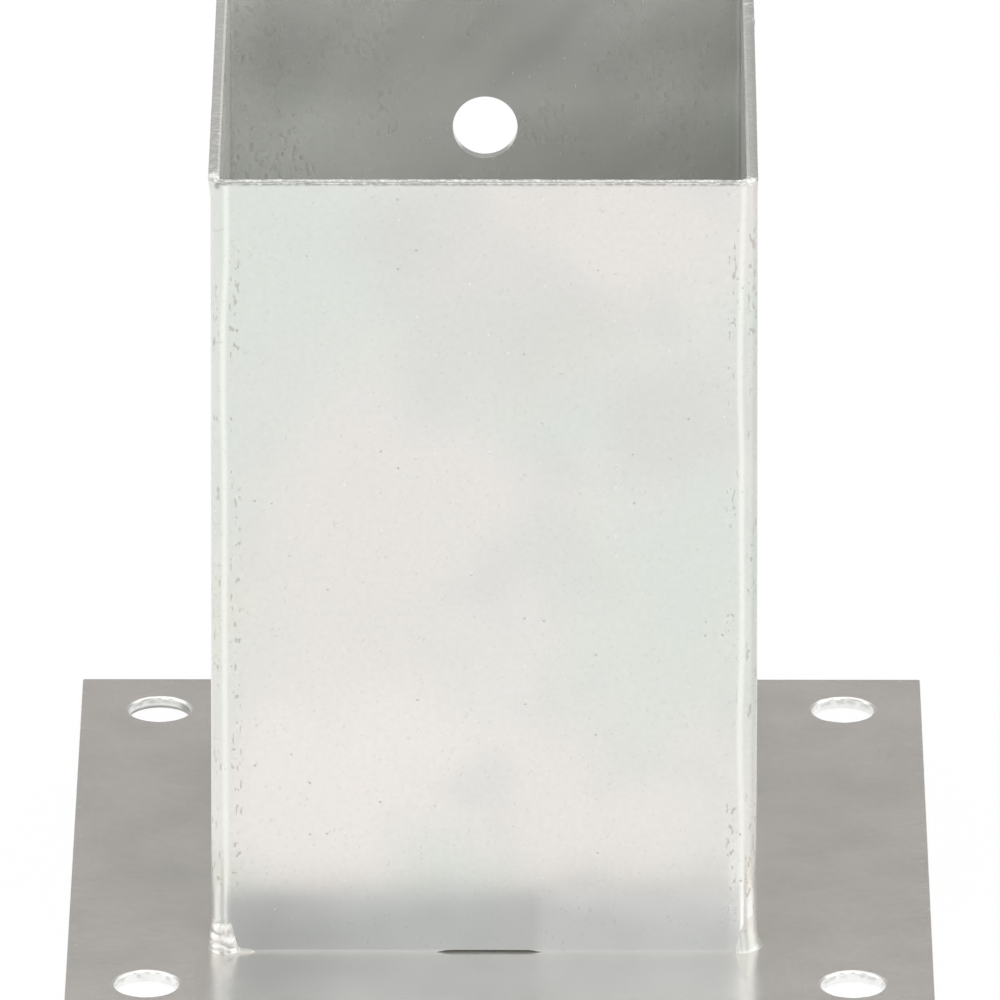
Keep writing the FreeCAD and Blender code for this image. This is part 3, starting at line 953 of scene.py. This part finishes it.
def scuffsOver(tree, colour, at):
    # the die's scuffs to both sides of each bend's start
    look = sleeveFinish
    scuffNoise = noiseOf(tree, placed(tree, at["where"], (0, 0, 0), (1, 1, 2.2)), 0.75 * mm, 1.0)
    scuffRun = noiseOf(tree, placed(tree, at["where"], (0.02, 0.01, 0)), 14 * mm, 0.0)
    scuffCut = fade(tree, scuffRun, 0.36, 0.62, 0.76, 0.60)
    scuff = fade(tree, maths(tree, "SUBTRACT", scuffNoise, scuffCut), 0.0, 0.04)
    strips = [band(tree, value, bendStart + centre, reach, 0.3)
              for value in (at["absX"], at["absY"]) for centre, reach in look["scuffStrips"]]
    scuff = times(tree, scuff, highest(tree, *strips))
    return coat(tree, colour, look["scuffTone"], scuff, 0.6), scuff


def rimOver(tree, colour, at):
    # the sheared rim: torn metal on top with a painted highlight on its upward faces, strongest along the
    # front, and painted shade in a dark line under its outer edge
    look = sleeveFinish
    y, z = at["y"], at["z"]
    front = -outerFace
    torn = noiseOf(tree, at["where"], 0.7 * mm, 0.0)
    up = splitOf(tree, addNode(tree, "ShaderNodeNewGeometry").outputs["Normal"])[2]
    atRim = fade(tree, z, rimTop - 0.75, rimTop - 0.45)
    # painted highlight on the rim's upward faces, strongest along the front and at the front left corner
    frontRim = times(tree, fade(tree, y, front + 1.9, front + 3.6, 1.0, 0.1),
                     fade(tree, y, front + 0.5, front + 1.0, 0.3, 1.0))
    corner = ballOf(tree, placed(tree, at["centred"], (-46.2, -44.8, rimTop), (2.2, 3.4, 2.5)))
    palest = highest(tree, frontRim, fade(tree, corner, 0.1, 0.4))
    pale = times(tree, atRim, fade(tree, up, 0.70, 0.92), palest, fade(tree, torn, 0.38, 0.6, 0.55, 1.0))
    colour = coat(tree, colour, look["rimHighlightTone"], pale)
    # painted shade just under the rim's top edge
    underEdge = times(tree, fade(tree, z, rimTop - 0.55, rimTop - 0.25), fade(tree, up, 0.90, 0.65))
    colour = coat(tree, colour, look["burrShade"], underEdge, fade(tree, torn, 0.35, 0.55, 0.3, 1.0), 0.6)
    # painted shade along the outer edge of the rim's top
    outerEdge = times(tree, atRim, fade(tree, y, front + 0.8, front + 0.4))
    colour = coat(tree, colour, look["burrShade"], outerEdge, fade(tree, torn, 0.35, 0.55, 0.15, 0.5))
    # painted shade in a notch at the front left corner
    notch = ballOf(tree, placed(tree, at["centred"], (-45.6, -47.2, rimTop - 0.8),
                                (0.9, 1.0, 0.9), (0, 0.5, 0)))
    colour = coat(tree, colour, look["burrShade"], fade(tree, notch, 0.0, 0.6, 0.0, 0.8))
    return colour, pale


def makeSleeveZinc():
    look = sleeveFinish
    material, tree, shader, where = newMaterial("sleeveZinc")
    at = sleevePlaces(tree, where)
    bloom = useGroup(tree, zincBloom, Vector=where, Size=look["cloudSize"])
    grain = noiseOf(tree, where, look["grainSize"], 1.0)
    colour = patchesOver(tree, bloom["Color"], at)
    colour = grainOver(tree, colour, grain)
    colour = bendLinesOver(tree, colour, at)
    colour = insideOver(tree, colour, at)
    colour = footOver(tree, colour, at)
    colour, pits = marksOver(tree, colour, at)
    colour, scuffs = scuffsOver(tree, colour, at)
    colour, rimHighlightMask = rimOver(tree, colour, at)
    joint = band(tree, at["z"], footZ / mm + 0.22, 0.22, 0.5)      # zinc drawn in along the plate
    colour = coat(tree, colour, look["jointZinc"], joint, 0.55)

    feed(tree, shader.inputs["Base Color"], colour)
    dull = highest(tree, times(tree, at["inside"], look["insideDull"]),
                   times(tree, rimHighlightMask, look["burrDull"]))
    feed(tree, shader.inputs["Metallic"], maths(tree, "SUBTRACT", look["metallic"], dull))
    worn = times(tree, highest(tree, scuffs, pits), 0.2)
    rough = cloudyRoughness(tree, bloom, look["roughness"])
    feed(tree, shader.inputs["Roughness"], maths(tree, "ADD", rough, worn))
    addBump(tree, shader, grain, grainDeep, grainStrength)
    return material


sleeve.data.materials.append(makeSleeveZinc())


# Plate finish
plateFinish = {
    "metallic": 0.78,
    "roughness": 0.235,
    "tone": (0.855, 0.793, 0.742),
    "cloudSize": 38 * mm,
    "grainSize": 1.2 * mm,
    "frontShade": (0.712, 0.712, 0.700),     # painted shade: cooler and darker in front of the sleeve
    "markShare": 0.05,
    # light nicks and scratches, and the painted highlight on the hole rims; then the painted reflection on
    # the hole walls
    "nickAndHighlightTone": (0.93, 0.93, 0.91),
    "wallReflectionTone": (0.98, 0.98, 0.97),
    "scuffTone": (0.52, 0.52, 0.49),
    "dirt": (0.40, 0.39, 0.36),
    "shade": (0.25, 0.25, 0.23),
}


def makePlateZinc():
    look = plateFinish
    material, tree, shader, where = newMaterial("plateZinc")
    x, y, z = splitOf(tree, placed(tree, where, (0, 0, 0), (mm, mm, mm)))
    absX = maths(tree, "ABSOLUTE", x)
    absY = maths(tree, "ABSOLUTE", y)
    clouds = placed(tree, where, (0.05, 0.02, 0))
    bloom = useGroup(tree, zincBloom, Vector=clouds, Size=look["cloudSize"])
    colour = coat(tree, bloom["Color"], look["tone"], 0.7)

    # painted shade: cooler and darker in front of the sleeve and greyer there on the left, dark under the
    # post
    besideAxis = maths(tree, "ABSOLUTE", maths(tree, "SUBTRACT", x, sleeveMid.x / mm))
    front = times(tree, fade(tree, y, -42, -52), fade(tree, besideAxis, 54, 40))
    colour = coat(tree, colour, look["frontShade"], front, 0.9)
    colour = coat(tree, colour, look["shade"], front, fade(tree, x, -24, -38, 0.0, 0.2))
    within = outerFace - 2
    covered = times(tree, fade(tree, besideAxis, within + 1, within), fade(tree, absY, within + 1, within))
    colour = coat(tree, colour, look["shade"], covered, 0.6)
    grain = noiseOf(tree, where, look["grainSize"], 1.0)
    colour = grainOver(tree, colour, grain)
    scattered = placed(tree, where, (0.03, 0.07, 0.001))
    marks = useGroup(tree, handlingMarks, Vector=scattered, Share=look["markShare"])
    colour = coat(tree, colour, look["dirt"], marks["Dark"], 0.45)
    colour = coat(tree, colour, look["nickAndHighlightTone"], marks["Light"], 0.8)
    colour = coat(tree, colour, look["nickAndHighlightTone"], marks["Scratch"], 0.3)

    # nicks along the sheared edges
    margin = fade(tree, highest(tree, absX, absY), plateHigh.x / mm - 3.5, plateHigh.x / mm - 0.5)
    nick = fade(tree, noiseOf(tree, where, 0.8 * mm, 1.5), 0.62, 0.68)
    colour = coat(tree, colour, look["nickAndHighlightTone"], margin, nick, 0.75)

    # punched holes: painted highlight on the rolled rim, painted reflection of the floor on the wall below
    # it, scuffs on that wall, and painted shade at the floor of the back left one
    bolts = mounts["base_bolts"]["dims"]
    foldX = maths(tree, "SUBTRACT", absX, bolts["spacing_x_mm"] / 2)
    foldY = maths(tree, "SUBTRACT", absY, bolts["spacing_y_mm"] / 2)
    radial = maths(tree, "SQRT", maths(tree, "ADD", times(tree, foldX, foldX), times(tree, foldY, foldY)))
    radius = bolts["hole_r_mm"]
    rim = fade(tree, radial, radius + 0.65, radius + 0.30)
    wall = times(tree, rim, fade(tree, z, 1.62, 1.38))
    # painted highlight on the rolled rim and painted reflection of the floor on the wall
    colour = coat(tree, colour, look["nickAndHighlightTone"], rim, 0.8)
    colour = coat(tree, colour, look["wallReflectionTone"], wall, 0.9)
    streak = noiseOf(tree, placed(tree, where, (0, 0, 0), (1, 1, 1.4), (0.5, 0.4, 0)), 1.5 * mm, 1.5)
    scrape = times(tree, wall, fade(tree, streak, 0.40, 0.62), fade(tree, z, 0.5, 1.2, 0.1, 0.55))
    colour = coat(tree, colour, look["scuffTone"], scrape)
    # painted shade low on the back left hole's wall
    darkHole = times(tree, fade(tree, x, -40, -45), fade(tree, y, 40, 45))     # the one at the back left
    darkest = highest(tree, fade(tree, z, 0.7, 0.2), fade(tree, x, -58.5, -56.5))
    colour = coat(tree, colour, look["shade"], wall, darkHole, darkest, 0.8)

    feed(tree, shader.inputs["Base Color"], colour)
    shader.inputs["Metallic"].default_value = look["metallic"]
    rough = cloudyRoughness(tree, bloom, look["roughness"])
    feed(tree, shader.inputs["Roughness"], maths(tree, "ADD", rough, times(tree, wall, 0.15)))
    addBump(tree, shader, grain, grainDeep, grainStrength)
    return material


plate.data.materials.append(makePlateZinc())


# Weld finish
weldFinish = {
    "metallic": 0.75,
    "roughness": 0.30,
    "softer": 0.05,          # added on the right hand welds
    "bright": (0.76, 0.76, 0.74),
    # painted shade in the weld's creases
    "pitAndCreaseShade": (0.36, 0.36, 0.33),
}


def makeWeldZinc():
    look = weldFinish
    material, tree, shader, where = newMaterial("weldZinc")
    bloom = useGroup(tree, zincBloom, Vector=where, Size=9 * mm)
    colour = coat(tree, bloom["Color"], look["bright"], 0.55)
    coarse = noiseOf(tree, where, 1.6 * mm)
    hollow = addNode(tree, "ShaderNodeAttribute", attribute_name="hollow").outputs["Fac"]
    # painted shade in the creases between the weld's layers
    colour = coat(tree, colour, look["pitAndCreaseShade"], hollow, 0.75)
    feed(tree, shader.inputs["Base Color"], colour)
    shader.inputs["Metallic"].default_value = look["metallic"]
    rough = fade(tree, coarse, 0.3, 0.7, look["roughness"] + 0.06, look["roughness"])
    softer = fade(tree, splitOf(tree, where)[0], -10 * mm, 10 * mm, 0.0, look["softer"])
    feed(tree, shader.inputs["Roughness"], maths(tree, "ADD", rough, softer))
    addBump(tree, shader, coarse, 0.04 * mm, 0.5)
    return material


weldZinc = makeWeldZinc()
for piece in weldPieces + [seam]:
    piece.data.materials.append(weldZinc)
print("finishes ready")


# Floor, light and camera

studio = {
    "floorHalf": 3.0,
    "floorTone": 0.92,
    "floorSeen": 0.93,       # how much of its white is its own, seen directly
    "floorMirrored": 0.90,   # and in the metal
    "mirrorLevel": 0.955,    # a mirrored floor is a little darker than white
    # light from low down: degrees round from the front, strength
    "around": [(0, 0.22), (5, 0.25), (11, 1.8), (27, 1.8), (34, 0.4), (47, 0.4), (57, 1.8), (97, 1.8),
               (112, 0.6), (145, 0.32), (180, 0.29)],
    "top": 1.30,
}


def makeFloor():
    bm = bmesh.new()
    bmesh.ops.create_grid(bm, x_segments=1, y_segments=1, size=studio["floorHalf"])
    mesh = bpy.data.meshes.new("floor")
    bm.to_mesh(mesh)
    bm.free()
    floor = bpy.data.objects.new("floor", mesh)
    bpy.context.scene.collection.objects.link(floor)
    material = bpy.data.materials.new("floor")
    tree = emptyTree(material)
    output = addNode(tree, "ShaderNodeOutputMaterial")
    plain = addNode(tree, "ShaderNodeBsdfDiffuse")
    plain.inputs["Color"].default_value = (studio["floorTone"],) * 3 + (1,)
    glow = addNode(tree, "ShaderNodeEmission")
    ray = addNode(tree, "ShaderNodeLightPath")
    dimmed = maths(tree, "MULTIPLY_ADD", ray.outputs["Is Glossy Ray"], studio["mirrorLevel"] - 1, 1.0)
    feed(tree, glow.inputs["Strength"], dimmed)
    seen = highest(tree, times(tree, ray.outputs["Is Camera Ray"], studio["floorSeen"]),
                   times(tree, ray.outputs["Is Glossy Ray"], studio["floorMirrored"]))
    mix = addNode(tree, "ShaderNodeMixShader")
    feed(tree, mix.inputs[0], seen)
    tree.links.new(plain.outputs[0], mix.inputs[1])
    tree.links.new(glow.outputs[0], mix.inputs[2])
    tree.links.new(mix.outputs[0], output.inputs["Surface"])
    mesh.materials.append(material)


def whiteLight(tree, strength):
    node = addNode(tree, "ShaderNodeBackground")
    node.inputs["Color"].default_value = (1, 1, 1, 1)
    feed(tree, node.inputs["Strength"], strength)
    return node.outputs[0]


def makeWorld():
    world = bpy.data.worlds.new("studio")
    bpy.context.scene.world = world
    tree = emptyTree(world)
    output = addNode(tree, "ShaderNodeOutputWorld")
    x, y, z = splitOf(tree, addNode(tree, "ShaderNodeTexCoord").outputs["Generated"])
    turn = maths(tree, "ARCTAN2", maths(tree, "ABSOLUTE", x), times(tree, y, -1.0))
    around = addNode(tree, "ShaderNodeValToRGB")
    feed(tree, around.inputs[0], maths(tree, "DIVIDE", turn, math.pi))
    stops = around.color_ramp.elements
    for index, (angle, strength) in enumerate(studio["around"]):
        stop = stops[index] if index < 2 else stops.new(angle / 180)
        stop.position = angle / 180
        stop.color = (strength / 2, strength / 2, strength / 2, 1)
    level = times(tree, around.outputs[0], 2.0)
    overhead = fade(tree, z, 0.45, 0.80)
    gain = maths(tree, "SUBTRACT", studio["top"], level)
    level = maths(tree, "MULTIPLY_ADD", overhead, gain, level)
    ray = addNode(tree, "ShaderNodeLightPath")
    pick = addNode(tree, "ShaderNodeMixShader")
    feed(tree, pick.inputs[0], ray.outputs["Is Camera Ray"])
    feed(tree, pick.inputs[1], whiteLight(tree, level))
    feed(tree, pick.inputs[2], whiteLight(tree, 1.0))     # a white backdrop
    tree.links.new(pick.outputs[0], output.inputs["Surface"])


cameraView = {
    "pitch": 22.22,      # degrees looking down
    "yaw": -0.127,       # degrees, turned a hair to the left
    "distance": 3.3185,
    "aim": (-0.000084, 0.0, 0.067317),
    "lens": 685.47,      # for a 36 mm wide sensor
}


def makeCamera():
    pitch = math.radians(cameraView["pitch"])
    yaw = math.radians(cameraView["yaw"])
    forward = Vector((math.sin(yaw) * math.cos(pitch), math.cos(yaw) * math.cos(pitch), -math.sin(pitch)))
    data = bpy.data.cameras.new("camera")
    data.sensor_width = 36
    data.lens = cameraView["lens"]
    data.clip_end = 50
    camera = bpy.data.objects.new("camera", data)
    camera.location = Vector(cameraView["aim"]) - forward * cameraView["distance"]
    camera.rotation_euler = forward.to_track_quat("-Z", "Y").to_euler()
    bpy.context.scene.collection.objects.link(camera)
    bpy.context.scene.camera = camera


makeFloor()
makeWorld()
makeCamera()
bpy.context.scene.view_settings.view_transform = "Standard"
print("floor, light and camera ready")
